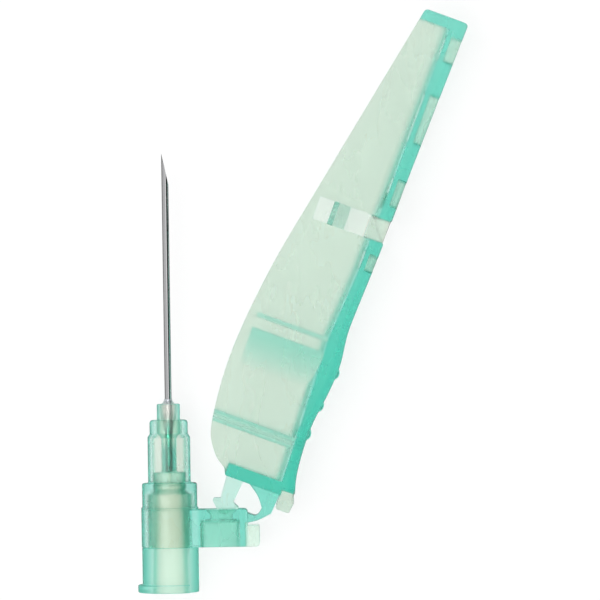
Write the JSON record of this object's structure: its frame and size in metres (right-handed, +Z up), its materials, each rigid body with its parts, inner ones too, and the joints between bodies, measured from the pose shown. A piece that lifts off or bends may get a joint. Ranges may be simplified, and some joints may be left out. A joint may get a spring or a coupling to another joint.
{
  "type": "safety hypodermic needle with hinged shield",
  "caption": "Steel hypodermic needle in a green conical-socket hub, with a hinged trough-shaped shield that swings over the needle and latches.",
  "frame": {"origin": "middle of the hub's mouth, where the syringe tip goes in", "axes": "+Y along the needle to its point, +X towards the hinged shield, +Z up from the surface that the needle lies on"},
  "size_m": [0.0401, 0.0688, 0.0082],
  "materials": {
    "hub_plastic": "translucent green polypropylene, smooth",
    "needle_steel": "drawn and ground stainless steel",
    "clear_adhesive": "clear cured adhesive, glossy",
    "shield_plastic": "translucent pale green polypropylene, satin"
  },
  "bodies": {
    "needle_unit": {"hub": "hub_plastic", "cannula": "needle_steel", "adhesive": "clear_adhesive", "collar": "shield_plastic", "hinge_strap": "shield_plastic"},
    "shield_unit": {"shield": "shield_plastic", "latch_pin": "shield_plastic"}
  },
  "joints": [
    {"name": "shield_hinge", "type": "hinge", "parent": "needle_unit", "child": "shield_unit", "pos_m": [0.01042, 0.00878, 0], "axis": [0, 0, 1], "range_deg": [-90, 35.5], "deforming": ["hinge_strap", "latch_pin"]}
  ]
}
